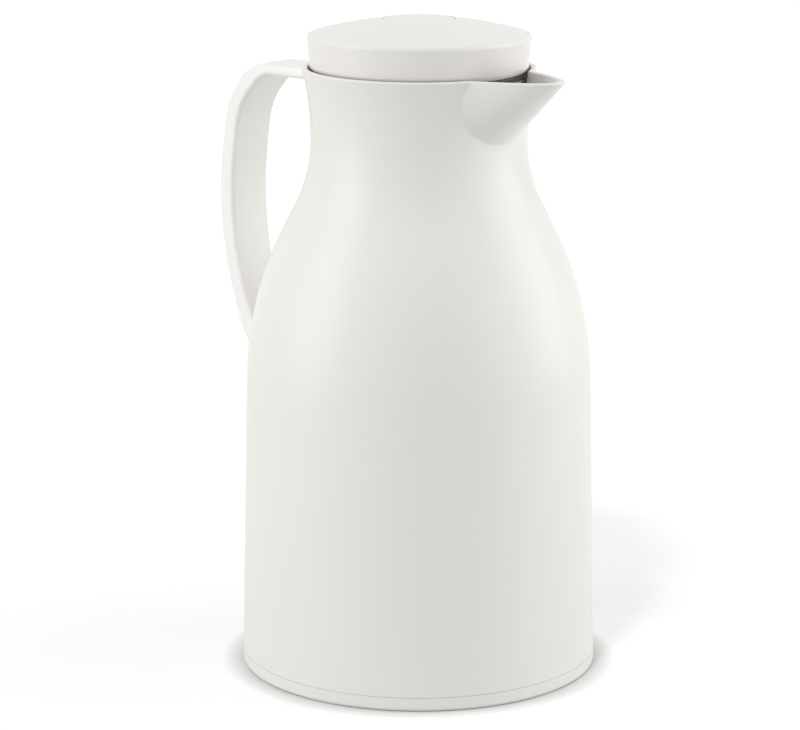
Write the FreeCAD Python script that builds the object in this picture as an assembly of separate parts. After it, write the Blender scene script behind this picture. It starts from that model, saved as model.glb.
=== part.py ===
"""Thermal jug: glass-lined body with spout and strap handle, and a screw-in lid with a pouring valve.

Millimetres. +Z is up, +X points to the spout, the handle is on -X, and the origin is on the jug's
axis in the plane that the foot ring stands on.
"""
import math
import os

import FreeCAD, Part

V = FreeCAD.Vector
UP = V(0, 0, 1)

# Jug body
jug_height = 269.5          # floor to rim
base_radius = 79.7          # outside, at the foot
body_draft = 1.28           # degrees, the side leans in
shoulder_radius = 155.0     # convex arc of the shoulder
shoulder_run = 10.8         # straight stretch between shoulder and neck
neck_radius = 47.8          # outside, at the waist of the neck
neck_blend_radius = 66.0    # concave arc from shoulder to waist
waist_drop = 31.4           # rim to the waist
flare_radius = 132.0        # concave arc from waist to rim
body_wall = 2.4
rim_round = 0.7             # rounding of the rim's edges

# Spout: part of a round cone, cut off at the rim
spout_reach = 79.4          # axis to the tip
spout_keel_angle = 43.0     # degrees, underside of the beak
spout_root_spread = 49.5    # degrees of the rim that the beak takes up
spout_apex_rise = 16.0      # cone's apex above the rim
spout_root_depth = 10.0     # the cone's underside runs on inside the neck
spout_wall = 2.2
spout_blend = 1.2           # rounding where the beak meets the neck

# Handle
handle_width = 24.0
handle_standoff = 30.5      # grip's outermost line, outside the body's foot
handle_top_drop = 5.1       # rim to the strap's top face
strap_thickness = 4.9       # where the strap leaves the neck
grip_thickness = 8.3
handle_edge_round = 2.0
handle_seat_gap = 0.05      # between handle and body
bend_lean = 45.0            # degrees from vertical, between the strap and the grip
grip_upper_lean = 8.0       # degrees from vertical, above the outermost line
grip_lower_lean = 19.6      # degrees from vertical, below it
foot_lean = 33.0            # degrees from vertical, where the handle runs into the body
knuckle_radius = 14.0
knuckle_run = 2.9           # straight stretch between knuckle and bend
bend_radius = 40.0
bend_run = 12.7             # straight stretch between bend and belly
belly_radius = 150.0
grip_run = 5.5              # straight stretch between belly and foot
foot_radius = 60.0

# Handle screw
screw_radius = 1.9
screw_cover = 2.2           # handle left beyond the screw's tip
screw_head_radius = 3.6
screw_head_height = 2.4
screw_fit = 0.05

# Base
base_ring_height = 6.2      # visible ring below the seam
seam_gap = 0.15
base_edge_round = 1.8
foot_ring_width = 9.0
foot_recess = 3.0           # hollow of the underside
base_floor = 2.5
base_spigot_height = 16.0   # part that screws into the shell
base_spigot_wall = 3.4
base_fit = 0.3              # spigot to shell
gasket_height = 2.4
gasket_depth = 1.6
gasket_drop = 5.0           # spigot's top to the gasket

# Glass liner
liner_clearance = 5.7       # shell to outer glass, at the shoulder
glass = 1.6
vacuum_gap = 6.0
lip_drop = 57.0             # rim to the lip's top
mouth_straight = 10.0       # upright stretch below the lip
lip_width = 6.4
lip_height = 3.2
lip_round = 1.8
liner_edge_radius = 30.0    # rounding of the bottom
liner_shoulder_radius = 60.0
liner_shoulder_run = 20.0   # straight stretch between shoulder and neck
liner_neck_round = 14.0
tip_radius = 3.0            # sealed pump tip under the outer glass
tip_length = 2.8
spacer_radius = 5.0
spacer_count = 3
spacer_rise = 70.0          # above the liner's bottom
cushion_radius = 32.0
cushion_bore = 9.0
cushion_height = 4.0
seat_gap = 0.05             # seals and cushions to their seats

# Collar in the neck
collar_wall = 3.2
collar_step = 5.0           # flange outside the collar's tube
ledge_width = 3.5           # ledge inside the collar's bore
collar_above_waist = 2.0
collar_fit = 0.2            # collar to the neck's waist
collar_flange = 3.0
ledge_thickness = 2.0
collar_seal_height = 3.0
collar_round = 1.0

# Stopper
thread_clearance = 1.8      # stopper to collar bore
stopper_wall = 2.8
stopper_floor = 2.5
plug_seal_height = 1.4
port_count = 8
port_height = 11.0
port_width = 17.0
port_above_collar = 1.0
flange_thickness = 4.2
flange_inset = 2.2          # flange inside the lid's lower edge
hub_radius = 8.0
hub_depth = 13.0
skirt_height = 7.0
skirt_wall = 1.8
skirt_fit = 0.3             # skirt to lid
insulation_room = 1.2       # under the lid's dome
insulation_fit = 0.4
insulation_round = 2.0

# Lid
lid_gap = 1.4               # lid's side line to the rim's inner wall
lid_sink = 1.8              # lid's lower edge below the rim
lid_side_lean = 5.4         # degrees, the side widens upwards
lid_side_height = 16.1      # lower edge to the dome's corner
lid_rim_width = 3.9
lid_lower_round = 3.2
lid_upper_round = 1.8
dome_outer_pitch = 13.2     # degrees from level, outer part of the dome
dome_inner_pitch = 9.4      # degrees from level, inner part
dome_outer_width = 17.2     # lid's upper corner to where the two would meet
dome_round = 160.0
lid_wall = 2.2
lid_seal_height = 2.4
lid_seal_inset = 1.7        # seal's lips inside the lid's side line
lid_seal_groove = 0.7

# Button and valve
button_radius = 15.7
button_gap = 0.25
button_top = 2.2
button_skirt = 11.0
button_wall = 1.8
button_round = 0.5
boss_radius = 6.0
boss_depth = 14.0
socket_depth = 10.0
sleeve_wall = 1.8
sleeve_depth = 10.0
stem_radius = 3.0
stem_fit = 0.05
stem_seal_cord = 1.0        # radius of the O-ring's cord
valve_opening = 15.0        # radius of the hole in the stopper's floor
valve_lap = 5.0             # valve plate past that hole
valve_plate_thickness = 3.0
valve_seal_height = 1.6
valve_seal_width = 7.0
valve_screw_radius = 1.2
valve_screw_length = 9.0
valve_screw_head_radius = 2.8
valve_screw_head_height = 1.6
spring_radius = 9.6         # axis to the middle of the wire
spring_wire = 0.6           # radius
spring_turns = 4

# Limits for the modelling itself
touching = 1e-4             # lengths below this count as none
fillet_share = 0.45         # of a wall, the most that a rounding takes
points_per_turn = 24        # of the spring, where its gap is measured

# Sizes that follow from those above
rim_radius = neck_radius + flare_radius - math.sqrt(flare_radius ** 2 - waist_drop ** 2)
handle_reach = base_radius + handle_standoff
waist_z = jug_height - waist_drop
base_seam_z = base_ring_height + seam_gap
base_floor_z = foot_recess + base_floor
lip_z = jug_height - lip_drop
ledge_bottom_z = lip_z + seat_gap + collar_seal_height
ledge_top_z = ledge_bottom_z + ledge_thickness
collar_top_z = waist_z + collar_above_waist
collar_flange_radius = neck_radius - body_wall - collar_fit
collar_radius = collar_flange_radius - collar_step
collar_bore = collar_radius - collar_wall
mouth_radius = collar_bore - ledge_width
lip_radius = mouth_radius + lip_width
stopper_bottom_z = ledge_top_z + 2 * seat_gap + plug_seal_height
stopper_radius = collar_bore - thread_clearance
lid_bottom_z = jug_height - lid_sink
lid_edge_radius = rim_radius - body_wall - lid_gap
lid_inner_radius = lid_edge_radius - lid_rim_width
dome_corner_z = lid_bottom_z + lid_side_height
dome_corner_radius = lid_edge_radius + lid_side_height * math.tan(math.radians(lid_side_lean))
dome_break = dome_corner_radius - dome_outer_width
dome_outer_rise = math.tan(math.radians(dome_outer_pitch))
dome_inner_rise = math.tan(math.radians(dome_inner_pitch))
dome_break_z = dome_corner_z + dome_outer_width * dome_outer_rise
dome_inside_z = dome_corner_z + (dome_corner_radius - lid_inner_radius) * dome_outer_rise - lid_wall
lid_top_z = dome_break_z + (dome_break - button_radius) * dome_inner_rise
flange_top_z = lid_bottom_z - lid_seal_height - 2 * seat_gap
flange_bottom_z = flange_top_z - flange_thickness
flange_radius = lid_edge_radius - flange_inset
skirt_radius = lid_inner_radius - skirt_fit
hub_bottom_z = flange_top_z - hub_depth
sleeve_bore = button_radius + button_gap
button_under_z = lid_top_z - button_top
stem_top_z = button_under_z - boss_depth + socket_depth
valve_plate_radius = valve_opening + valve_lap
valve_seal_bottom_z = stopper_bottom_z - seat_gap - valve_seal_height
valve_plate_bottom_z = valve_seal_bottom_z - valve_plate_thickness
liner_bottom_z = base_floor_z + 2 * seat_gap + cushion_height


def lean(angle, length=1.0):
    """Direction in the profile plane, in degrees from straight up, positive away from the axis."""
    return V(math.sin(math.radians(angle)), 0, math.cos(math.radians(angle))) * length


def crossing(p, d, q, e):
    """Where the line through p along d meets the line through q along e, in the profile plane."""
    det = d.x * e.z - d.z * e.x
    t = ((q.x - p.x) * e.z - (q.z - p.z) * e.x) / det
    return p + d * t


def offset_corners(corners, distance):
    """Parallel copy of an open outline of (point, radius) corners, to the left of its direction."""
    points = [c[0] for c in corners]
    runs = [(b - a).normalize() for a, b in zip(points, points[1:])]
    lefts = [V(-d.z, 0, d.x) * distance for d in runs]
    moved = [(points[0] + lefts[0], 0)]
    for i in range(1, len(points) - 1):
        spot = crossing(points[i] + lefts[i - 1], runs[i - 1], points[i] + lefts[i], runs[i])
        turn = runs[i - 1].x * runs[i].z - runs[i - 1].z * runs[i].x
        radius = corners[i][1] - math.copysign(1, turn) * distance
        moved.append((spot, max(radius, 0)))
    moved.append((points[-1] + lefts[-1], 0))
    return moved


def rounded_edges(corners):
    """Lines and tangent arcs along (point, radius) corners; the two ends are sharp."""
    edges = []
    start = corners[0][0]
    for i in range(1, len(corners) - 1):
        corner, radius = corners[i]
        if radius <= 0:
            edges.append(Part.LineSegment(start, corner).toShape())
            start = corner
            continue
        back = (corners[i - 1][0] - corner).normalize()
        ahead = (corners[i + 1][0] - corner).normalize()
        half = back.getAngle(ahead) / 2
        reach = radius / math.tan(half)
        first = corner + back * reach
        last = corner + ahead * reach
        top = corner + (back + ahead).normalize() * (radius / math.sin(half) - radius)
        if (first - start).Length > touching:
            edges.append(Part.LineSegment(start, first).toShape())
        edges.append(Part.Arc(first, top, last).toShape())
        start = last
    if (corners[-1][0] - start).Length > touching:
        edges.append(Part.LineSegment(start, corners[-1][0]).toShape())
    return edges


def between(first, second):
    """Flat face between two open outlines, closed by straight lines at their ends."""
    edges = rounded_edges(first) + rounded_edges(second)
    for one, other in ((first[0], second[0]), (first[-1], second[-1])):
        if (one[0] - other[0]).Length > touching:
            edges.append(Part.LineSegment(one[0], other[0]).toShape())
    return Part.Face(Part.Wire(Part.__sortEdges__(edges)))


def turned(face):
    """Solid of revolution about the jug's axis, with its seam on the handle's side."""
    solid = face.revolve(V(0, 0, 0), UP, 360)
    solid.rotate(V(0, 0, 0), UP, 180)
    return solid


def turned_ring(*corners):
    """Solid of revolution of a closed outline of (r, z) or (r, z, rounding) corners, the first one sharp."""
    listed = [(V(c[0], 0, c[1]), c[2] if len(c) > 2 else 0) for c in corners]
    return turned(Part.Face(Part.Wire(rounded_edges(listed + [listed[0]]))))


def tube(inner, outer, low, high):
    """Plain ring with square edges."""
    return turned_ring((inner, low), (outer, low), (outer, high), (inner, high))


def rod(radius, low, high):
    """Plain round bar on the jug's axis."""
    return Part.makeCylinder(radius, high - low, V(0, 0, low), UP)


def layer(low_z, high_z):
    """Block across the whole part between two heights."""
    side = 4 * handle_reach
    return Part.makeBox(side, side, high_z - low_z, V(-side / 2, -side / 2, low_z))


def shoulder_corners(foot, side_lean, neck, shoulder_arc, neck_arc, run):
    """Corners of a shoulder: its two arcs are tangent to a straight run and to the lines above and below.

    The side goes up from foot, leaning in by side_lean; neck is the point where the upright neck begins.
    """
    side = lean(-side_lean)
    inward = V(-side.z, 0, side.x)
    arcs = shoulder_arc + neck_arc
    neck_centre = neck + V(neck_arc, 0, 0)
    gap = neck_centre - foot - inward * shoulder_arc
    climb = gap.dot(side) - math.sqrt(arcs ** 2 + run ** 2 - gap.dot(inward) ** 2)
    centre = foot + inward * shoulder_arc + side * climb
    link = neck_centre - centre
    slope = math.degrees(math.atan2(link.z, link.x) - math.atan2(run, arcs))
    contact = centre + lean(90 - slope, shoulder_arc)
    shoulder = crossing(foot, side, contact, lean(-slope))
    return shoulder, crossing(neck, UP, contact, lean(-slope))


def body_outline():
    """Outside of the shell from the floor to the rim, as corners."""
    foot = V(base_radius, 0, 0)
    neck = V(neck_radius, 0, waist_z)
    shoulder, neck_corner = shoulder_corners(
        foot, body_draft, neck, shoulder_radius, neck_blend_radius, shoulder_run)
    flare_angle = math.asin(waist_drop / flare_radius)
    flare_run = flare_radius * math.tan(flare_angle / 2)
    flare_corner = V(neck_radius, 0, waist_z + flare_run)
    rim = flare_corner + lean(math.degrees(flare_angle), flare_run)
    return [
        (foot, 0),
        (shoulder, shoulder_radius),
        (neck_corner, neck_blend_radius),
        (flare_corner, flare_radius),
        (rim, 0),
    ]


def side_radius(z, inset=0.0):
    """Radius of the straight side at a height, moved in by inset square to the surface."""
    slope = math.radians(body_draft)
    return base_radius - z * math.tan(slope) - inset / math.cos(slope)


def body_core(inset, overrun=0.0):
    """Solid inside the shell's outline, moved in by inset and run on past both ends."""
    corners = offset_corners(body_outline(), inset)
    low = corners[0][0] - (corners[1][0] - corners[0][0]).normalize() * overrun
    high = corners[-1][0] + (corners[-1][0] - corners[-2][0]).normalize() * overrun
    outline = [(low, 0)] + corners[1:-1] + [(high, 0)]
    return turned(between(outline, [(V(0, 0, low.z), 0), (V(0, 0, high.z), 0)]))


def spout_axis():
    """Apex of the beak's cone, its half angle and its axis's angle below level, in radians."""
    keel = math.radians(spout_keel_angle)
    apex = V(spout_reach + spout_apex_rise / math.tan(keel), 0, jug_height + spout_apex_rise)
    spread = math.radians(spout_root_spread / 2)
    root = V(rim_radius * math.cos(spread), rim_radius * math.sin(spread), jug_height)
    ray = (apex - root).normalize()
    half = math.atan2(1 - ray.x * math.cos(keel) - ray.z * math.sin(keel),
                      ray.x * math.sin(keel) - ray.z * math.cos(keel))
    return apex, half, keel - half


def spout_cone(inset):
    """Cone of the beak, with its surface moved in by inset and its seam on top."""
    apex, half, tilt = spout_axis()
    keel_length = (apex.x - neck_radius + spout_root_depth) / math.cos(half + tilt)
    shift = inset / math.sin(half)
    length = keel_length * math.cos(half) - shift
    cone = Part.makeCone(0, length * math.tan(half), length, V(0, 0, shift), UP)
    cone.rotate(V(0, 0, 0), V(0, 1, 0), -90 - math.degrees(tilt))
    cone.translate(apex)
    return cone


def body_form():
    """Outside of shell and beak up to the rim, with the beak's root rounded before the rim is cut."""
    form = body_core(0, 3 * spout_apex_rise).fuse(spout_cone(0)).removeSplitter()
    root = []
    for face in form.Faces:
        if isinstance(face.Surface, Part.Cone) and face.BoundBox.XMin > 0:
            root += [e for e in face.Edges if e.BoundBox.ZMin < jug_height - spout_blend]
    return form.makeFillet(spout_blend, root).cut(layer(jug_height, 2 * jug_height)).removeSplitter()


def make_outer_body():
    """Shell with shoulder, neck and spout, open at the bottom, with a hole for the handle screw."""
    hollow = body_core(body_wall, 2 * body_wall).fuse(spout_cone(spout_wall)).removeSplitter()
    shell = body_form().cut(layer(-jug_height, base_seam_z)).cut(hollow).removeSplitter()
    rim = [e for e in shell.Edges if e.BoundBox.ZMin > jug_height - touching]
    return shell.makeFillet(rim_round, rim).cut(screw_bore(side_radius(0)))


def handle_outlines():
    """Outer and inner side of the strap, from the neck round to the foot, on the +X side."""
    leans = [90, bend_lean, grip_upper_lean, -grip_lower_lean, -foot_lean]
    radii = [knuckle_radius, bend_radius, belly_radius, foot_radius]
    turns = [math.radians(a - b) for a, b in zip(leans, leans[1:])]
    reaches = [r * math.tan(turn / 2) for r, turn in zip(radii, turns)]
    strap_z = jug_height - handle_top_drop
    spots = [V(0, 0, strap_z)]
    for i, run in enumerate((knuckle_run, bend_run, grip_run)):
        spots.append(spots[-1] + lean(180 - leans[i + 1], reaches[i] + run + reaches[i + 1]))
    uneven = math.radians(grip_lower_lean - grip_upper_lean)
    overshoot = belly_radius * (math.cos(uneven / 2) / math.cos(turns[2] / 2) - 1)
    shift = V(handle_reach + overshoot - spots[2].x, 0, 0)
    corners = [(spot + shift, radius) for spot, radius in zip(spots, radii)]
    foot = corners[-1][0]
    tail = foot + lean(180 + foot_lean, 2 * (foot.x - neck_radius))
    start = V(neck_radius - body_wall, 0, strap_z)
    outer = [(start, 0)] + corners + [(tail, 0)]
    grip = offset_corners(outer, -grip_thickness)
    under = V(start.x, 0, strap_z - strap_thickness)
    inner_knuckle = crossing(grip[2][0], lean(-bend_lean), under, V(1, 0, 0))
    inner = [(under, 0), (inner_knuckle, knuckle_radius - strap_thickness)] + grip[2:]
    return outer, inner


def make_handle():
    """Strap handle with rounded long edges, cut to sit on the body and bored for its screw."""
    outer, inner = handle_outlines()
    bar = between(outer, inner).extrude(V(0, handle_width, 0))
    bar.translate(V(0, -handle_width / 2, 0))
    lines = rounded_edges(outer) + rounded_edges(inner)
    sides = [V(0, y, 0) for y in (-handle_width / 2, handle_width / 2)]
    spots = [line.CenterOfMass + side for line in lines for side in sides]
    rims = [e for e in bar.Edges if min((e.CenterOfMass - s).Length for s in spots) < touching]
    edge = min(handle_edge_round, fillet_share * strap_thickness)
    bar = bar.makeFillet(edge, rims)
    strap = bar.mirror(V(0, 0, 0), V(1, 0, 0)).cut(body_core(-handle_seat_gap, handle_seat_gap))
    return strap.cut(screw_bore(screw_tip() + screw_fit))


def meeting(start, end, corners):
    """Where a straight line meets an outline of corners."""
    line = Part.LineSegment(start, end).toShape()
    return Part.Wire(rounded_edges(corners)).distToShape(line)[1][0][0]


def screw_height():
    """Height of the handle screw: the middle of the handle's foot on the body."""
    shell = body_outline()
    heights = [meeting(line[-2][0], line[-1][0], shell).z for line in handle_outlines()]
    return sum(heights) / 2


def screw_tip():
    """Radius at which the handle screw ends inside the handle's foot."""
    outer = handle_outlines()[0]
    face = crossing(outer[-2][0], lean(foot_lean), V(0, 0, screw_height()), V(1, 0, 0))
    return face.x - screw_cover


def screw_bore(depth):
    """Round cutter along the handle screw, from the axis out to a radius."""
    return Part.makeCylinder(screw_radius + screw_fit, depth, V(0, 0, screw_height()), V(-1, 0, 0))


def make_handle_screw():
    """Pan-head screw from inside the shell into the handle."""
    z = screw_height()
    edge_z = z + screw_head_radius
    wall = meeting(V(0, 0, edge_z), V(base_radius, 0, edge_z), offset_corners(body_outline(), body_wall))
    seat = math.sqrt(wall.x ** 2 - screw_head_radius ** 2) - seat_gap
    head = Part.makeCylinder(screw_head_radius, screw_head_height, V(-seat, 0, z), V(1, 0, 0))
    crown = [e for e in head.Edges if e.BoundBox.XMin > -seat + touching and e.BoundBox.XLength < touching]
    head = head.makeFillet(screw_head_height / 2, crown)
    shank = Part.makeCylinder(screw_radius, screw_tip() - seat, V(-seat, 0, z), V(-1, 0, 0))
    return head.fuse(shank)


def flask_outline(outside, bottom_z, mouth):
    """Outside of one glass wall, from the middle of its bottom up to its mouth."""
    top_z = lip_z - lip_height
    neck = V(mouth, 0, top_z - mouth_straight)
    shoulder, neck_corner = shoulder_corners(
        V(outside, 0, bottom_z), 0, neck, liner_shoulder_radius, liner_neck_round, liner_shoulder_run)
    edge = liner_edge_radius - (flask_radius() - outside)
    return [
        (V(0, 0, bottom_z), 0),
        (V(outside, 0, bottom_z), edge),
        (shoulder, liner_shoulder_radius),
        (neck_corner, liner_neck_round),
        (V(mouth, 0, top_z), 0),
    ]


def flask_radius():
    """Outside radius of the outer glass."""
    shoulder = body_outline()[1][0]
    return side_radius(shoulder.z, body_wall) - liner_clearance


def make_liner_outer():
    """Outer glass wall with the lip that joins it to the inner one, and its sealed pump tip."""
    outline = flask_outline(flask_radius(), liner_bottom_z, lip_radius)
    wall = turned(between(outline, offset_corners(outline, glass)))
    low = lip_z - lip_height
    lip = turned_ring((mouth_radius, low), (lip_radius, low), (lip_radius, lip_z, lip_round),
                      (mouth_radius, lip_z, lip_round))
    tip = rod(tip_radius, liner_bottom_z - tip_length, liner_bottom_z + glass / 2)
    end = [e for e in tip.Edges if e.BoundBox.ZMax < liner_bottom_z - tip_length + touching]
    return wall.fuse([lip, tip.makeFillet(tip_radius / 2, end)]).removeSplitter()


def make_liner_inner():
    """Inner glass wall, which holds the drink; it meets the lip face to face."""
    inset = glass + vacuum_gap
    outline = flask_outline(flask_radius() - inset, liner_bottom_z + inset, mouth_radius + glass)
    return turned(between(outline, offset_corners(outline, glass)))


def make_liner_spacers():
    """Pads that keep the two glass walls apart."""
    outside = flask_radius() - glass
    gap = tube(outside - vacuum_gap + seat_gap, outside - seat_gap, liner_bottom_z, lip_z)
    z = liner_bottom_z + spacer_rise
    pads = []
    for i in range(spacer_count):
        pin = Part.makeCylinder(spacer_radius, flask_radius(), V(0, 0, z), V(1, 0, 0))
        pin.rotate(V(0, 0, 0), UP, 360 * i / spacer_count)
        pads.append(gap.common(pin))
    return Part.makeCompound([solid for pad in pads for solid in pad.Solids])


def make_liner_cushion():
    """Rubber ring between the base and the liner's bottom, open for the pump tip."""
    low = base_floor_z + seat_gap
    high = low + cushion_height
    edge = cushion_height / 4
    return turned_ring((cushion_bore, low), (cushion_radius, low), (cushion_radius, high, edge),
                       (cushion_bore, high))


def spigot_radius():
    """Outside of the base's spigot, clear of the shell over its whole height."""
    return side_radius(base_seam_z + base_spigot_height, body_wall) - base_fit


def make_base_cap():
    """Screw-in base: visible ring, foot ring, dished underside and a spigot with a gasket groove."""
    ring = side_radius(base_ring_height)
    foot = side_radius(0)
    top = base_seam_z + base_spigot_height
    outside = spigot_radius()
    inside = outside - base_spigot_wall
    cap = turned_ring(
        (0, foot_recess), (foot - foot_ring_width - foot_recess, foot_recess), (foot - foot_ring_width, 0),
        (foot, 0, base_edge_round), (ring, base_ring_height), (outside, base_ring_height), (outside, top),
        (inside, top), (inside, base_floor_z, base_floor), (0, base_floor_z))
    high = top - gasket_drop
    return cap.cut(tube(outside - gasket_depth, outside + base_fit, high - gasket_height, high))


def make_base_gasket():
    """Ring in the spigot's groove that seals against the shell."""
    high = base_seam_z + base_spigot_height - gasket_drop
    inner = spigot_radius() - gasket_depth + seat_gap
    outer = side_radius(high, body_wall) - seat_gap
    return tube(inner, outer, high - gasket_height + seat_gap, high - seat_gap)


def make_neck_collar():
    """Insert in the neck: ledge over the liner's lip, bore for the stopper's thread, flange at the waist."""
    low = collar_top_z - collar_flange
    return turned_ring(
        (mouth_radius, ledge_bottom_z), (collar_radius, ledge_bottom_z), (collar_radius, low),
        (collar_flange_radius, low), (collar_flange_radius, collar_top_z),
        (collar_bore, collar_top_z, collar_round), (collar_bore, ledge_top_z), (mouth_radius, ledge_top_z))


def make_collar_seal():
    """Silicone ring between the liner's lip and the collar's ledge."""
    return tube(mouth_radius, lip_radius, lip_z + seat_gap, ledge_bottom_z)


def stem_groove_z():
    """Middle height of the O-ring's groove in the hub."""
    return hub_bottom_z + hub_depth / 2


def make_stopper_body():
    """Plug with valve seat, pouring ports, top plate with the stem's hub, and a skirt for the lid."""
    inside = stopper_radius - stopper_wall
    bore = stem_radius + stem_fit
    skirt = skirt_radius - skirt_wall
    under = flange_bottom_z
    plug = turned_ring(
        (valve_opening, stopper_bottom_z), (stopper_radius, stopper_bottom_z), (stopper_radius, under),
        (flange_radius, under), (flange_radius, flange_top_z), (skirt_radius, flange_top_z),
        (skirt_radius, flange_top_z + skirt_height), (skirt, flange_top_z + skirt_height),
        (skirt, flange_top_z),
        (bore, flange_top_z), (bore, hub_bottom_z), (hub_radius, hub_bottom_z), (hub_radius, under),
        (inside, under), (inside, stopper_bottom_z + stopper_floor),
        (valve_opening, stopper_bottom_z + stopper_floor))
    groove = 2 * stem_seal_cord + seat_gap
    z = stem_groove_z()
    plug = plug.cut(tube(0, bore + groove, z - groove / 2, z + groove / 2))
    low = collar_top_z + port_above_collar
    for i in range(port_count):
        corner = V(inside - stopper_wall, -port_width / 2, low)
        port = Part.makeBox(stopper_radius, port_width, port_height, corner)
        port.rotate(V(0, 0, 0), UP, 360 * i / port_count)
        plug = plug.cut(port)
    return plug


def make_plug_seal():
    """Ring under the plug that closes the liner's mouth on the collar's ledge."""
    return tube(mouth_radius, stopper_radius, ledge_top_z + seat_gap, stopper_bottom_z - seat_gap)


def make_stem_seal():
    """O-ring round the valve stem."""
    middle = stem_radius + stem_fit + stem_seal_cord
    return Part.makeTorus(middle, stem_seal_cord, V(0, 0, stem_groove_z()), UP)


def make_stopper_seal():
    """Dark ring between stopper and lid, with two lips."""
    inner = skirt_radius + seat_gap
    lip = lid_edge_radius - lid_seal_inset
    low = flange_top_z + seat_gap
    high = lid_bottom_z - seat_gap
    land = lid_seal_height / 3
    middle = (low + high) / 2
    return turned_ring((inner, low), (lip, low), (lip, low + land), (lip - lid_seal_groove, middle),
                       (lip, high - land), (lip, high), (inner, high))


def make_lid_cap():
    """Domed lid with a hole and guide sleeve for the button."""
    tip = dome_break_z + dome_break * dome_inner_rise
    form = turned_ring(
        (0, lid_bottom_z), (lid_edge_radius, lid_bottom_z, lid_lower_round),
        (dome_corner_radius, dome_corner_z, lid_upper_round), (dome_break, dome_break_z, dome_round),
        (0, tip))
    hollow = turned_ring(
        (0, lid_bottom_z), (lid_inner_radius, lid_bottom_z),
        (lid_inner_radius, dome_inside_z, lid_wall),
        (dome_break, dome_break_z - lid_wall, dome_round), (0, tip - lid_wall))
    sleeve = rod(sleeve_bore + sleeve_wall, lid_top_z - sleeve_depth, lid_top_z - lid_wall)
    dome = form.cut(hollow).fuse(sleeve.common(hollow))
    return dome.cut(rod(sleeve_bore, lid_bottom_z, tip)).removeSplitter()


def make_lid_insulation():
    """Foam ring that fills the lid between skirt and button sleeve."""
    inner = sleeve_bore + sleeve_wall + insulation_fit
    outer = skirt_radius - skirt_wall - insulation_fit
    low = flange_top_z + seat_gap
    high = dome_inside_z - insulation_room
    return turned_ring((inner, low), (outer, low), (outer, high, insulation_round),
                       (inner, high, insulation_round))


def make_push_button():
    """Round button with a skirt and a socket for the stem."""
    bottom = lid_top_z - button_skirt
    boss = button_under_z - boss_depth
    bore = stem_radius + stem_fit
    inside = button_radius - button_wall
    return turned_ring(
        (0, lid_top_z), (0, stem_top_z + seat_gap), (bore, stem_top_z + seat_gap), (bore, boss),
        (boss_radius, boss), (boss_radius, button_under_z), (inside, button_under_z), (inside, bottom),
        (button_radius, bottom), (button_radius, lid_top_z, button_round))


def make_valve_stem():
    """Rod from the valve plate to the button, bored for the valve screw."""
    stem = rod(stem_radius, valve_seal_bottom_z, stem_top_z)
    tip = valve_plate_bottom_z + valve_screw_length + screw_fit
    return stem.cut(rod(valve_screw_radius + screw_fit, valve_seal_bottom_z, tip))


def make_valve_plate():
    """Disc under the stopper that carries the valve seal."""
    rim = valve_plate_radius
    pilot = rim - valve_seal_width
    bore = stem_radius + stem_fit
    screw = valve_screw_radius + screw_fit
    low = valve_plate_bottom_z
    seat = valve_seal_bottom_z
    high = seat + valve_seal_height
    return turned_ring(
        (screw, low), (rim, low, valve_plate_thickness / 2), (rim, seat), (pilot, seat), (pilot, high),
        (bore, high), (bore, seat), (screw, seat))


def make_valve_seal():
    """Flat ring that closes the hole in the stopper's floor from below."""
    inner = valve_plate_radius - valve_seal_width + seat_gap
    return tube(inner, valve_plate_radius, valve_seal_bottom_z, valve_seal_bottom_z + valve_seal_height)


def make_valve_screw():
    """Screw through the valve plate into the stem."""
    low = valve_plate_bottom_z - valve_screw_head_height
    return turned_ring(
        (0, low), (valve_screw_head_radius, low, valve_screw_head_height / 2),
        (valve_screw_head_radius, valve_plate_bottom_z), (valve_screw_radius, valve_plate_bottom_z),
        (valve_screw_radius, valve_plate_bottom_z + valve_screw_length),
        (0, valve_plate_bottom_z + valve_screw_length))


def make_return_spring():
    """Coil spring between the stopper's top plate and the button, swept along quarter-turn arcs."""
    low = flange_top_z + seat_gap + spring_wire
    rise = button_under_z - seat_gap - spring_wire - low
    pitch = rise / spring_turns

    def place(turns):
        angle = 2 * math.pi * turns
        return V(spring_radius * math.cos(angle), spring_radius * math.sin(angle), low + pitch * turns)

    quarters = [i / 4 for i in range(4 * spring_turns)]
    arcs = [Part.Arc(place(t), place(t + 1 / 8), place(t + 1 / 4)).toShape() for t in quarters]
    heading = V(0, 2 * math.pi * spring_radius, pitch)
    section = Part.Wire(Part.makeCircle(spring_wire, place(0), heading))
    points = [place(i / points_per_turn) for i in range(points_per_turn * spring_turns + 1)]
    half_turn = points_per_turn // 2
    reach = min((p - q).Length for i, p in enumerate(points) for q in points[i + half_turn:])
    print("spring: least gap between turns %.2f mm" % (reach - 2 * spring_wire))
    return Part.Wire(arcs).makePipeShell([section], True, False)


PIECES = {
    "outer_body": make_outer_body,
    "handle": make_handle,
    "handle_screw": make_handle_screw,
    "neck_collar": make_neck_collar,
    "collar_seal": make_collar_seal,
    "liner_inner": make_liner_inner,
    "liner_outer": make_liner_outer,
    "liner_spacers": make_liner_spacers,
    "liner_cushion": make_liner_cushion,
    "base_cap": make_base_cap,
    "base_gasket": make_base_gasket,
    "lid_cap": make_lid_cap,
    "lid_insulation": make_lid_insulation,
    "stopper_body": make_stopper_body,
    "stopper_seal": make_stopper_seal,
    "plug_seal": make_plug_seal,
    "stem_seal": make_stem_seal,
    "push_button": make_push_button,
    "valve_stem": make_valve_stem,
    "valve_plate": make_valve_plate,
    "valve_seal": make_valve_seal,
    "valve_screw": make_valve_screw,
    "return_spring": make_return_spring,
}


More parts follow.
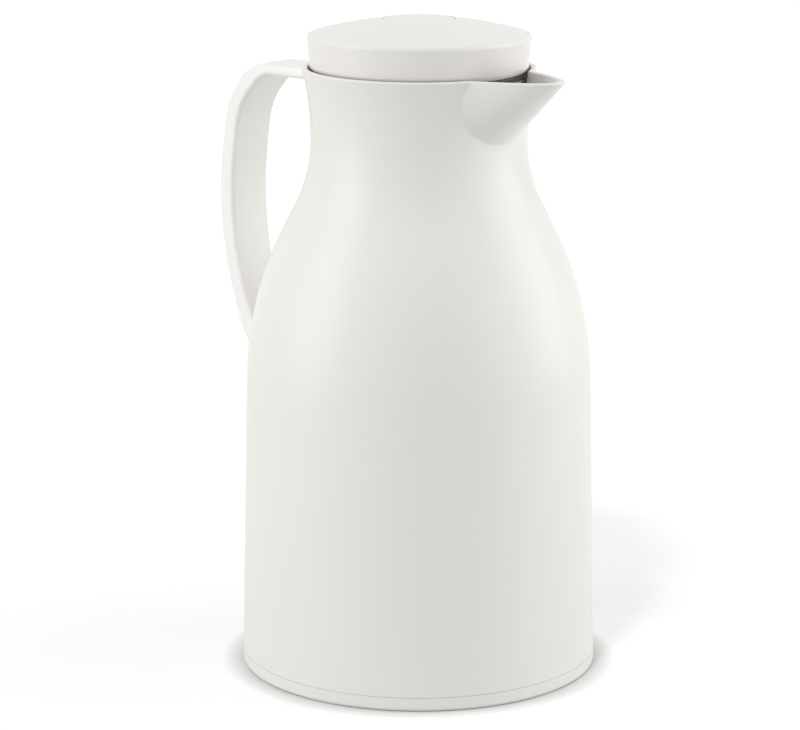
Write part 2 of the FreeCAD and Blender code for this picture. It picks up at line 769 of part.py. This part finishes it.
def main():
    """Build each piece and write it to its own file."""
    os.makedirs("parts", exist_ok=True)
    for name, make in PIECES.items():
        shape = make()
        shape.exportStep(os.path.join("parts", name + ".step"))
        box = shape.BoundBox
        print("%-16s solids %d valid %s volume %9.1f mm3  z %.2f to %.2f" % (
            name, len(shape.Solids), shape.isValid(), shape.Volume, box.ZMin, box.ZMax))


main()
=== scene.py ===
"""Looks of a glass-lined thermal jug: finishes, threads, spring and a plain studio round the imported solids.

Metres, in the solids' own frame: +Z is up, +X points to the spout, the handle is on -X, the floor is z = 0.
"""
from __future__ import annotations

import logging
import math
from dataclasses import dataclass
from enum import Enum

import bmesh
import bpy
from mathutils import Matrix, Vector


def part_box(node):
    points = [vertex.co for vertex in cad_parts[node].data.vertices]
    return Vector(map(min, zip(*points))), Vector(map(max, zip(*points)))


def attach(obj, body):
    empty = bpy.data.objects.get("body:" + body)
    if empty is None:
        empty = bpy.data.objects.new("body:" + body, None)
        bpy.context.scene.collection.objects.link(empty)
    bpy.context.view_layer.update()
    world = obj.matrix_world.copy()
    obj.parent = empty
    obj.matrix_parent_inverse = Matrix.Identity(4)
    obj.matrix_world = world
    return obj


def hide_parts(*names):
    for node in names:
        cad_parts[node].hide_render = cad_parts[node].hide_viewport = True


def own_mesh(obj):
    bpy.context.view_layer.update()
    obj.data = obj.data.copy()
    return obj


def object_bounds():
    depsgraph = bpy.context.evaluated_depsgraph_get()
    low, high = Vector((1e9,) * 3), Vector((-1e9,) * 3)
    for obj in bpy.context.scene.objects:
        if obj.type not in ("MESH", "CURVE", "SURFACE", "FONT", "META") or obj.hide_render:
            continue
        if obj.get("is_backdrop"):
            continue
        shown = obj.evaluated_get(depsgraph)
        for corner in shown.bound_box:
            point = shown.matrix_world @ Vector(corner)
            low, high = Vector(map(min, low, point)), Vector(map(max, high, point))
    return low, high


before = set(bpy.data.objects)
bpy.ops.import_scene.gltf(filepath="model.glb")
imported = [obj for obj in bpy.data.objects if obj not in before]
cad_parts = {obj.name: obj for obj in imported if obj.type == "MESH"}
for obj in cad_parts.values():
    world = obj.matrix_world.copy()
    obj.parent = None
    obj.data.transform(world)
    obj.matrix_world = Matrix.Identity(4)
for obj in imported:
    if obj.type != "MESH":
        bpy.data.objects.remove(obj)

LOG = logging.getLogger("thermal_jug")
MM = 0.001
MERGE_DISTANCE = 0.001 * MM
WHITE = (1.0, 1.0, 1.0, 1.0)
# A mix node has sockets of every kind under the same names, so its colour sockets go by their place.
MIX_COLOR_A = 6
MIX_COLOR_B = 7
MIX_COLOR_RESULT = 2
Rgb = tuple[float, float, float]


class Body(Enum):
    """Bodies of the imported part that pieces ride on."""

    JUG = "jug"
    LID = "lid"


class Side(Enum):
    """Sides of a node group that a socket can stand on."""

    INPUT = "INPUT"
    OUTPUT = "OUTPUT"


class Carries(Enum):
    """What a group's socket carries, by the socket's type."""

    FLOAT = "NodeSocketFloat"
    INT = "NodeSocketInt"
    COLOR = "NodeSocketColor"
    MATERIAL = "NodeSocketMaterial"
    GEOMETRY = "NodeSocketGeometry"


class Operation(Enum):
    """Operations of a Math node."""

    MULTIPLY = "MULTIPLY"
    DIVIDE = "DIVIDE"
    MAXIMUM = "MAXIMUM"


class NodeSheet:
    """Adds nodes to one node tree and links them.

    Args:
        tree: The tree that the nodes go into.
    """

    def __init__(self, tree: bpy.types.NodeTree) -> None:
        """Keeps the tree."""
        self.tree = tree

    def add(self, kind: str, inputs: dict[str | int, object] | None = None,
            **settings: object) -> bpy.types.Node:
        """Adds one node.

        Args:
            kind: Identifier of the node's type.
            inputs: Values or sockets by input name or number.
            settings: Properties of the node itself.

        Returns:
            The new node.
        """
        node = self.tree.nodes.new(kind)
        for name, value in settings.items():
            setattr(node, name, value)
        for key, value in (inputs or {}).items():
            if isinstance(value, bpy.types.NodeSocket):
                self.tree.links.new(value, node.inputs[key])
            else:
                node.inputs[key].default_value = value
        return node

    def math(self, operation: Operation, first: object, second: object) -> bpy.types.NodeSocket:
        """Adds a Math node.

        Args:
            operation: What it does with the two values.
            first: First value or socket.
            second: Second value or socket.

        Returns:
            The node's result.
        """
        return self.add("ShaderNodeMath", {0: first, 1: second}, operation=operation.value).outputs[0]

    def sockets(self, side: Side, kind: Carries, *names: str) -> None:
        """Declares named inputs or outputs of a group.

        Args:
            side: Side that the sockets stand on.
            kind: What the sockets carry.
            names: Names of the sockets.
        """
        for name in names:
            self.tree.interface.new_socket(name, in_out=side.value, socket_type=kind.value)


@dataclass(frozen=True)
class SurfaceGroup:
    """Shader group that every finish uses: cloudy tint, uneven gloss and a fine grain."""

    name: str = "moulded_surface"
    cloud_detail: float = 3.0
    grain_detail: float = 2.0

    def tree(self) -> bpy.types.NodeTree:
        """Builds the group once.

        Returns:
            The group's node tree.
        """
        known = bpy.data.node_groups.get(self.name)
        if known:
            return known
        tree = bpy.data.node_groups.new(self.name, "ShaderNodeTree")
        sheet = NodeSheet(tree)
        sheet.sockets(Side.INPUT, Carries.COLOR, "Color", "Cloud Color")
        sheet.sockets(Side.INPUT, Carries.FLOAT, "Cloud Scale", "Gloss Low", "Gloss High", "Grain Scale")
        sheet.sockets(Side.OUTPUT, Carries.COLOR, "Color")
        sheet.sockets(Side.OUTPUT, Carries.FLOAT, "Roughness", "Height")
        given = sheet.add("NodeGroupInput").outputs
        place = sheet.add("ShaderNodeTexCoord").outputs["Object"]
        cloud = sheet.add("ShaderNodeTexNoise", {
            "Vector": place, "Scale": given["Cloud Scale"], "Detail": self.cloud_detail}).outputs["Fac"]
        tint = sheet.add("ShaderNodeMix", data_type="RGBA", inputs={
            "Factor": cloud, MIX_COLOR_A: given["Color"], MIX_COLOR_B: given["Cloud Color"]})
        gloss = sheet.add("ShaderNodeMapRange", {
            "Value": cloud, "To Min": given["Gloss Low"], "To Max": given["Gloss High"]}).outputs[0]
        grain = sheet.add("ShaderNodeTexNoise", {
            "Vector": place, "Scale": given["Grain Scale"], "Detail": self.grain_detail}).outputs["Fac"]
        sheet.add("NodeGroupOutput", {
            "Color": tint.outputs[MIX_COLOR_RESULT], "Roughness": gloss, "Height": grain})
        return tree


@dataclass(frozen=True)
class Finish:
    """Finish on the shared surface group: a tint, the tone that clouds it and a range of gloss."""

    name: str
    color: Rgb
    cloud_color: Rgb
    gloss: tuple[float, float] = (0.32, 0.40)
    cloud_scale: float = 14.0

    def material(self) -> bpy.types.Material:
        """Builds the material once.

        Returns:
            The material.
        """
        known = bpy.data.materials.get(self.name)
        if known:
            return known
        made = bpy.data.materials.new(self.name)
        made.use_nodes = True
        sheet = NodeSheet(made.node_tree)
        shader = made.node_tree.nodes["Principled BSDF"]
        surface = sheet.add("ShaderNodeGroup", node_tree=SurfaceGroup().tree(), inputs={
            "Color": (*self.color, 1.0), "Cloud Color": (*self.cloud_color, 1.0),
            "Cloud Scale": self.cloud_scale, "Gloss Low": self.gloss[0], "Gloss High": self.gloss[1]})
        links = made.node_tree.links
        links.new(surface.outputs["Color"], shader.inputs["Base Color"])
        links.new(surface.outputs["Roughness"], shader.inputs["Roughness"])
        self.add_own(sheet, surface, shader)
        return made

    def add_own(self, sheet: NodeSheet, surface: bpy.types.Node, shader: bpy.types.Node) -> None:
        """Adds what one kind of finish has beyond tint and gloss.

        Args:
            sheet: Sheet of the material's tree.
            surface: The shared group's node.
            shader: The material's shader node.
        """
        raise NotImplementedError


@dataclass(frozen=True)
class MouldedFinish(Finish):
    """Finish of a moulded piece, plastic or rubber, with a fine grain."""

    grain_size: float = 0.7 * MM
    grain_depth: float = 0.012 * MM

    def add_own(self, sheet: NodeSheet, surface: bpy.types.Node, shader: bpy.types.Node) -> None:
        """Raises the grain.

        Args:
            sheet: Sheet of the material's tree.
            surface: The shared group's node.
            shader: The material's shader node.
        """
        surface.inputs["Grain Scale"].default_value = 1.0 / self.grain_size
        bump = sheet.add("ShaderNodeBump", {
            "Height": surface.outputs["Height"], "Distance": self.grain_depth, "Strength": 1.0})
        sheet.tree.links.new(bump.outputs["Normal"], shader.inputs["Normal"])


@dataclass(frozen=True)
class MetalFinish(Finish):
    """Bright metal, bare or under a clear coat, for steel and for silvered glass."""

    coat: float = 0.0

    def add_own(self, sheet: NodeSheet, surface: bpy.types.Node, shader: bpy.types.Node) -> None:
        """Makes the surface metal and lays the coat.

        Args:
            sheet: Sheet of the material's tree.
            surface: The shared group's node.
            shader: The material's shader node.
        """
        shader.inputs["Metallic"].default_value = 1.0
        shader.inputs["Coat Weight"].default_value = self.coat


BODY_WHITE = MouldedFinish("body_white", (0.862, 0.850, 0.800), (0.842, 0.831, 0.783))
# The handle's own white, made lighter than the body's as painted light: it stands in for the bounce light
# that its inner face, shaded by the body, gets too little of.
HANDLE_WHITE_PAINTED_LIGHT = MouldedFinish("handle_white_painted_light", (0.928, 0.914, 0.890), (0.913, 0.899, 0.876))
LID_WHITE = MouldedFinish("lid_white", (0.870, 0.848, 0.818), (0.855, 0.833, 0.803))
INSERT_WHITE = MouldedFinish("insert_white", (0.80, 0.80, 0.775), (0.77, 0.77, 0.75), (0.42, 0.52))
STEM_GREY = MouldedFinish("stem_grey", (0.70, 0.70, 0.68), (0.66, 0.66, 0.645), (0.40, 0.50))
SEAL_GREY = MouldedFinish("seal_grey", (0.130, 0.130, 0.126), (0.115, 0.115, 0.112), (0.5, 0.62))
SILICONE = MouldedFinish("milky_silicone", (0.72, 0.72, 0.69), (0.68, 0.68, 0.655), (0.45, 0.6))
BLACK_RUBBER = MouldedFinish("black_rubber", (0.03, 0.03, 0.03), (0.02, 0.02, 0.02), (0.6, 0.72))
SPACER_FIBRE = MouldedFinish(
    "spacer_fibre", (0.62, 0.58, 0.5), (0.55, 0.51, 0.44), (0.8, 0.9),
    cloud_scale=300.0, grain_size=0.3 * MM, grain_depth=0.05 * MM)
LID_FOAM = MouldedFinish(
    "lid_foam", (0.85, 0.85, 0.83), (0.78, 0.78, 0.76), (0.75, 0.9),
    cloud_scale=250.0, grain_size=1.2 * MM, grain_depth=0.2 * MM)
SILVERED_GLASS = MetalFinish(
    "silvered_glass", (0.88, 0.89, 0.90), (0.8096, 0.8188, 0.828), (0.03, 0.07), cloud_scale=12.0, coat=1.0)
BRIGHT_STEEL = MetalFinish(
    "bright_steel", (0.60, 0.60, 0.61), (0.552, 0.552, 0.5612), (0.12, 0.25), cloud_scale=12.0)


@dataclass(frozen=True)
class HelixTree:
    """Geometry node tree that winds round-section ribs or wires about the jug's axis, with pointed ends."""

    name: str = "helix_rib"
    profile_points: int = 12
    points_per_turn: int = 72
    end_scale: float = 0.05

    def tree(self) -> bpy.types.NodeTree:
        """Builds the tree once.

        Returns:
            The geometry node tree, with named inputs for every size.
        """
        known = bpy.data.node_groups.get(self.name)
        if known:
            return known
        tree = bpy.data.node_groups.new(self.name, "GeometryNodeTree")
        sheet = NodeSheet(tree)
        sheet.sockets(Side.INPUT, Carries.FLOAT, "Radius", "Lead", "Turns", "Rib", "Height")
        sheet.sockets(Side.INPUT, Carries.INT, "Starts")
        sheet.sockets(Side.INPUT, Carries.MATERIAL, "Material")
        sheet.sockets(Side.OUTPUT, Carries.GEOMETRY, "Geometry")
        given = sheet.add("NodeGroupInput").outputs
        starts = sheet.add("GeometryNodePoints", {"Count": given["Starts"]})
        index = sheet.add("GeometryNodeInputIndex").outputs[0]
        share = sheet.math(Operation.DIVIDE, index, given["Starts"])
        turn = sheet.math(Operation.MULTIPLY, share, math.tau)
        euler = sheet.add("ShaderNodeCombineXYZ", {"Z": turn})
        rotation = sheet.add("FunctionNodeEulerToRotation", {"Euler": euler.outputs[0]})
        placed = sheet.add("GeometryNodeInstanceOnPoints", {
            "Points": starts.outputs[0], "Instance": self.rib(sheet, given), "Rotation": rotation.outputs[0]})
        lift = sheet.add("ShaderNodeCombineXYZ", {"Z": given["Height"]})
        moved = sheet.add("GeometryNodeTransform", {
            "Geometry": placed.outputs[0], "Translation": lift.outputs[0]})
        real = sheet.add("GeometryNodeRealizeInstances", {"Geometry": moved.outputs[0]})
        smooth = sheet.add("GeometryNodeSetShadeSmooth", {"Geometry": real.outputs[0]})
        dressed = sheet.add("GeometryNodeSetMaterial", {
            "Geometry": smooth.outputs[0], "Material": given["Material"]})
        sheet.add("NodeGroupOutput", {"Geometry": dressed.outputs[0]})
        return tree

    def rib(self, sheet: NodeSheet, given: bpy.types.NodeOutputs) -> bpy.types.NodeSocket:
        """Winds one rib from the height 0.

        Args:
            sheet: Sheet of the tree.
            given: The tree's named inputs.

        Returns:
            The rib's mesh.
        """
        rise = sheet.math(Operation.MULTIPLY, given["Lead"], given["Turns"])
        spiral = sheet.add("GeometryNodeCurveSpiral", {
            "Resolution": self.points_per_turn, "Rotations": given["Turns"], "Height": rise,
            "Start Radius": given["Radius"], "End Radius": given["Radius"]})
        profile = sheet.add("GeometryNodeCurvePrimitiveCircle", {
            "Resolution": self.profile_points, "Radius": given["Rib"]})
        ends = sheet.add("GeometryNodeCurveEndpointSelection")
        swell = sheet.add("GeometryNodeSwitch", input_type="FLOAT", inputs={
            "Switch": ends.outputs[0], "False": 1.0, "True": self.end_scale})
        rib = sheet.add("GeometryNodeCurveToMesh", {
            "Curve": spiral.outputs[0], "Profile Curve": profile.outputs[0], "Scale": swell.outputs[0],
            "Fill Caps": True})
        return rib.outputs[0]

    def wind(self, name: str, material: bpy.types.Material, **sizes: float) -> bpy.types.Object:
        """Winds one piece.

        Args:
            name: Name of the new piece.
            material: Its material.
            sizes: Values for the tree's named inputs.

        Returns:
            The piece as a plain mesh object at the origin.
        """
        tree = self.tree()
        piece = bpy.data.objects.new(name, bpy.data.meshes.new(name + "_seed"))
        bpy.context.scene.collection.objects.link(piece)
        modifier = piece.modifiers.new(self.name, "NODES")
        modifier.node_group = tree
        values = {**sizes, "Material": material}
        for item in tree.interface.items_tree:
            if item.in_out == Side.INPUT.value and item.name in values:
                modifier[item.identifier] = values[item.name]
        evaluated = piece.evaluated_get(bpy.context.evaluated_depsgraph_get())
        mesh = bpy.data.meshes.new_from_object(evaluated)
        piece.modifiers.clear()
        piece.data = mesh
        mesh.name = name
        return piece


def dress(finishes: dict[str, Finish]) -> None:
    """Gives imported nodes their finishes.

    Args:
        finishes: Finish by node name.
    """
    for node, finish in finishes.items():
        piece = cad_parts[node]
        piece.data.materials.clear()
        piece.data.materials.append(finish.material())
        LOG.info("dressed %s in %s", node, finish.name)


def merged_copy(node: str, name: str, sharp_angle: float = 35.0) -> bpy.types.Object:
    """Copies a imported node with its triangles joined, for a piece that rides on another body.

    Args:
        node: Name of the node.
        name: Name of the copy.
        sharp_angle: Degrees between faces from which an edge stays sharp.

    Returns:
        The copy, at the origin.
    """
    work = bmesh.new()
    work.from_mesh(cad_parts[node].data)
    bmesh.ops.remove_doubles(work, verts=work.verts, dist=MERGE_DISTANCE)
    mesh = bpy.data.meshes.new(name)
    work.to_mesh(mesh)
    work.free()
    mesh.shade_smooth()
    mesh.set_sharp_from_angle(angle=math.radians(sharp_angle))
    copy = bpy.data.objects.new(name, mesh)
    bpy.context.scene.collection.objects.link(copy)
    return copy


def seen_by_eye(sheet: NodeSheet) -> bpy.types.NodeSocket:
    """Tells rays that show something, directly, mirrored or through glass, from rays that only light.

    Args:
        sheet: Sheet of the tree that asks.

    Returns:
        A socket that is 1 for rays that show something and 0 for others.
    """
    path = sheet.add("ShaderNodeLightPath").outputs
    mirrored = sheet.math(Operation.MAXIMUM, path["Is Glossy Ray"], path["Is Transmission Ray"])
    return sheet.math(Operation.MAXIMUM, path["Is Camera Ray"], mirrored)


@dataclass(frozen=True)
class ScrewThread:
    """The thread that collar and stopper share, as round ribs."""

    rib: float = 0.75 * MM
    lead: float = 20.0 * MM
    starts: int = 4

    def wind(self, name: str, body: Body, radius: float, turns: float, height: float) -> None:
        """Winds the thread on one piece.

        Args:
            name: Name of the new piece.
            body: Body that it rides on.
            radius: Radius of the face that it lies on.
            turns: Turns of each rib.
            height: Height of its lower end.
        """
        thread = HelixTree().wind(
            name, INSERT_WHITE.material(), Radius=radius, Lead=self.lead, Turns=turns, Rib=self.rib,
            Starts=self.starts, Height=height)
        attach(thread, body.value)
        LOG.info("wound %s", name)


@dataclass
class JugBody:
    """Shell, handle, base and collar, with the collar's thread."""

    thread: ScrewThread = ScrewThread()
    thread_turns: float = 0.55
    thread_drop: float = 3.0 * MM

    def build(self) -> None:
        """Dresses the jug's solids and winds the collar's thread."""
        dress({
            "outer_body": BODY_WHITE, "handle": HANDLE_WHITE_PAINTED_LIGHT, "base_cap": BODY_WHITE,
            "neck_collar": INSERT_WHITE, "collar_seal": SILICONE, "handle_screw": BRIGHT_STEEL,
            "base_gasket": BLACK_RUBBER})
        foot = self.top() - self.thread_drop - self.thread.lead * self.thread_turns
        self.thread.wind("collar_thread", Body.JUG, self.bore(), self.thread_turns, foot)

    def top(self) -> float:
        """Height of the collar's upper face."""
        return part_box("neck_collar")[1].z

    def bore(self) -> float:
        """Finds the wall that the thread lies on.

        Returns:
            Radius of the collar's bore: its first wall outside the plug seal, below the thread's upper end.
        """
        ceiling = self.top() - self.thread_drop
        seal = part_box("plug_seal")[1].x
        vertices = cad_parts["neck_collar"].data.vertices
        radii = [v.co.xy.length for v in vertices if v.co.z < ceiling]
        return min(radius for radius in radii if radius > seal)


@dataclass
class Liner:
    """Double-walled glass with its pads and cushion."""

    def build(self) -> None:
        """Dresses the liner's solids."""
        dress({
            "liner_inner": SILVERED_GLASS, "liner_outer": SILVERED_GLASS,
            "liner_spacers": SPACER_FIBRE, "liner_cushion": BLACK_RUBBER})


@dataclass
class Lid:
    """Screw-in lid: cap, foam, stopper with its thread, and seals."""

    thread: ScrewThread = ScrewThread()
    thread_turns: float = 0.5
    thread_rise: float = 4.0 * MM

    def build(self) -> None:
        """Dresses the lid's solids, hangs its lower seal and winds the stopper's thread."""
        dress({
            "lid_cap": LID_WHITE, "lid_insulation": LID_FOAM, "stopper_body": INSERT_WHITE,
            "stopper_seal": SEAL_GREY, "stem_seal": BLACK_RUBBER})
        seal = merged_copy("plug_seal", "plug_seal_ring")
        seal.data.materials.append(SILICONE.material())
        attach(seal, Body.LID.value)
        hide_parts("plug_seal")
        LOG.info("hung plug_seal_ring under the stopper")
        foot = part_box("stopper_body")[0].z + self.thread_rise
        # The plug seal is as wide as the stopper's barrel, which carries the thread.
        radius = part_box("plug_seal")[1].x
        self.thread.wind("stopper_thread", Body.LID, radius, self.thread_turns, foot)


@dataclass
class Valve:
    """Push button, stem, valve plate and return spring."""

    wire_radius: float = 0.6 * MM
    turns: float = 4.0

    def build(self) -> None:
        """Dresses the valve's solids and winds the spring that the button squeezes."""
        dress({
            "push_button": LID_WHITE, "valve_stem": STEM_GREY, "valve_plate": INSERT_WHITE,
            "valve_seal": SILICONE, "valve_screw": BRIGHT_STEEL})
        low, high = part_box("return_spring")
        length = high.z - low.z
        spring = HelixTree().wind(
            "button_spring", BRIGHT_STEEL.material(), Radius=high.x - self.wire_radius,
            Lead=(length - 2 * self.wire_radius) / self.turns, Turns=self.turns, Rib=self.wire_radius,
            Starts=1, Height=low.z + self.wire_radius)
        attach(spring, Body.LID.value)
        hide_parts("return_spring")
        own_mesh(spring)
        LOG.info("wound button_spring")


@dataclass(frozen=True)
class Softbox:
    """Area light that faces the jug's middle.

    The power is in watts. The angle is counted in degrees round the jug from the camera, plus to its right.
    """

    name: str
    power: float
    size: tuple[float, float]
    height: float
    distance: float = 0.0
    angle: float = 0.0

    def hang(self, camera_turn: float) -> None:
        """Hangs the light.

        Args:
            camera_turn: Degrees that the camera is turned about the upright axis.
        """
        turn = math.radians(camera_turn + self.angle)
        place = Vector((math.sin(turn), -math.cos(turn), 0.0)) * self.distance
        place.z = self.height
        data = bpy.data.lights.new(self.name, "AREA")
        data.shape = "RECTANGLE"
        data.size, data.size_y = self.size
        data.energy = self.power
        made = bpy.data.objects.new(self.name, data)
        made.location = place
        low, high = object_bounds()
        middle = Vector((0.0, 0.0, (low.z + high.z) / 2))
        made.rotation_euler = (place - middle).to_track_quat("Z", "Y").to_euler()
        bpy.context.scene.collection.objects.link(made)


@dataclass
class Studio:
    """Camera, floor, lamps and background.

    Angles are in degrees, lens and sensor in millimetres. The floor's glow runs from glow_near at the
    distance glow_from to glow_far at glow_to. At the jug's foot the glow is left out and sets in over the
    width foot_shade, which paints a contact shadow round the foot.
    """

    camera_place: tuple[float, float, float] = (0.89431, -1.06580, 0.46207)
    camera_pitch: float = 76.787
    camera_turn: float = 40.346
    lens: float = 144.0
    sensor: float = 36.0
    floor_size: float = 12.0
    floor_color: float = 0.74
    glow_near: float = 0.335
    glow_far: float = 0.70
    glow_from: float = 0.16
    glow_to: float = 1.4
    foot_shade: float = 0.010
    ambient: float = 0.402
    sun_strength: float = 0.68
    sun_from: tuple[float, float, float] = (0.190, -0.586, 0.788)
    sun_spread: float = 8.0
    softboxes: tuple[Softbox, ...] = (
        Softbox("left_softbox", power=7.1, size=(0.8, 1.3), height=0.42, distance=1.3, angle=-75.0),
        Softbox("right_softbox", power=8.2, size=(0.9, 1.3), height=0.42, distance=1.3, angle=97.0),
        Softbox("fill_softbox", power=1.6, size=(0.8, 0.8), height=0.42, distance=1.3, angle=58.0),
        Softbox("top_softbox", power=3.2, size=(1.0, 1.0), height=1.5))

    def build(self) -> None:
        """Makes the camera, the floor, the background and the lamps."""
        self.camera()
        self.floor()
        self.background()
        self.sun()
        for softbox in self.softboxes:
            softbox.hang(self.camera_turn)
        LOG.info("set up the studio")

    def camera(self) -> None:
        """Sets the camera at the photograph's angle."""
        data = bpy.data.cameras.new("camera")
        data.lens = self.lens
        data.sensor_width = self.sensor
        data.sensor_fit = "HORIZONTAL"
        made = bpy.data.objects.new("camera", data)
        made.location = self.camera_place
        made.rotation_euler = (math.radians(self.camera_pitch), 0.0, math.radians(self.camera_turn))
        bpy.context.scene.collection.objects.link(made)
        bpy.context.scene.camera = made

    def floor(self) -> None:
        """Lays the floor."""
        half = self.floor_size / 2
        mesh = bpy.data.meshes.new("floor")
        corners = [(-half, -half, 0), (half, -half, 0), (half, half, 0), (-half, half, 0)]
        mesh.from_pydata(corners, [], [(0, 1, 2, 3)])
        mesh.materials.append(self.floor_material())
        floor = bpy.data.objects.new("floor", mesh)
        bpy.context.scene.collection.objects.link(floor)
        floor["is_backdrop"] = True

    def floor_material(self) -> bpy.types.Material:
        """Builds a pale surface that looks white to the camera and keeps the shadow.

        Returns:
            The material. Its glow grows with the distance from the jug and is left out at the jug's foot,
            which paints a shadow round the base.
        """
        made = bpy.data.materials.new("pale_floor")
        made.use_nodes = True
        sheet = NodeSheet(made.node_tree)
        shader = made.node_tree.nodes["Principled BSDF"]
        shader.inputs["Base Color"].default_value = (self.floor_color,) * 3 + (1.0,)
        shader.inputs["Roughness"].default_value = 1.0
        shader.inputs["Specular IOR Level"].default_value = 0.0
        place = sheet.add("ShaderNodeTexCoord").outputs["Object"]
        away = sheet.add("ShaderNodeVectorMath", {0: place}, operation="LENGTH").outputs["Value"]
        lift = sheet.add("ShaderNodeMapRange", {
            "Value": away, "From Min": self.glow_from, "From Max": self.glow_to,
            "To Min": self.glow_near, "To Max": self.glow_far}).outputs[0]
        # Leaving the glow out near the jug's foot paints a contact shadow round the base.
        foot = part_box("base_cap")[1].x
        clear = sheet.add("ShaderNodeMapRange", {
            "Value": away, "From Min": foot, "From Max": foot + self.foot_shade}).outputs[0]
        glow_here = sheet.math(Operation.MULTIPLY, lift, clear)
        strength = sheet.math(Operation.MULTIPLY, seen_by_eye(sheet), glow_here)
        glow = sheet.add("ShaderNodeEmission", {"Strength": strength})
        both = sheet.add("ShaderNodeAddShader", {0: shader.outputs[0], 1: glow.outputs[0]})
        out = made.node_tree.nodes["Material Output"]
        made.node_tree.links.new(both.outputs[0], out.inputs["Surface"])
        return made

    def background(self) -> None:
        """Makes the background white to the eye and a plain soft light for everything else."""
        world = bpy.data.worlds.new("studio")
        bpy.context.scene.world = world
        world.use_nodes = True
        sheet = NodeSheet(world.node_tree)
        level = sheet.add("ShaderNodeMapRange", {
            "Value": seen_by_eye(sheet), "To Min": self.ambient, "To Max": 1.0})
        shade = world.node_tree.nodes["Background"]
        shade.inputs["Color"].default_value = WHITE
        world.node_tree.links.new(level.outputs[0], shade.inputs["Strength"])

    def sun(self) -> None:
        """Sets the soft key light that throws the shadow on the floor."""
        data = bpy.data.lights.new("key", "SUN")
        data.energy = self.sun_strength
        data.angle = math.radians(self.sun_spread)
        made = bpy.data.objects.new("key", data)
        made.rotation_euler = Vector(self.sun_from).to_track_quat("Z", "Y").to_euler()
        made.visible_glossy = False
        bpy.context.scene.collection.objects.link(made)


def main() -> None:
    """Builds the sub-assemblies in order."""
    logging.basicConfig(level=logging.INFO, format="%(message)s")
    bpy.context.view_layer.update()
    bpy.context.scene.view_settings.view_transform = "Standard"
    for part in (Studio(), JugBody(), Liner(), Lid(), Valve()):
        part.build()


if __name__ == "__main__":
    main()
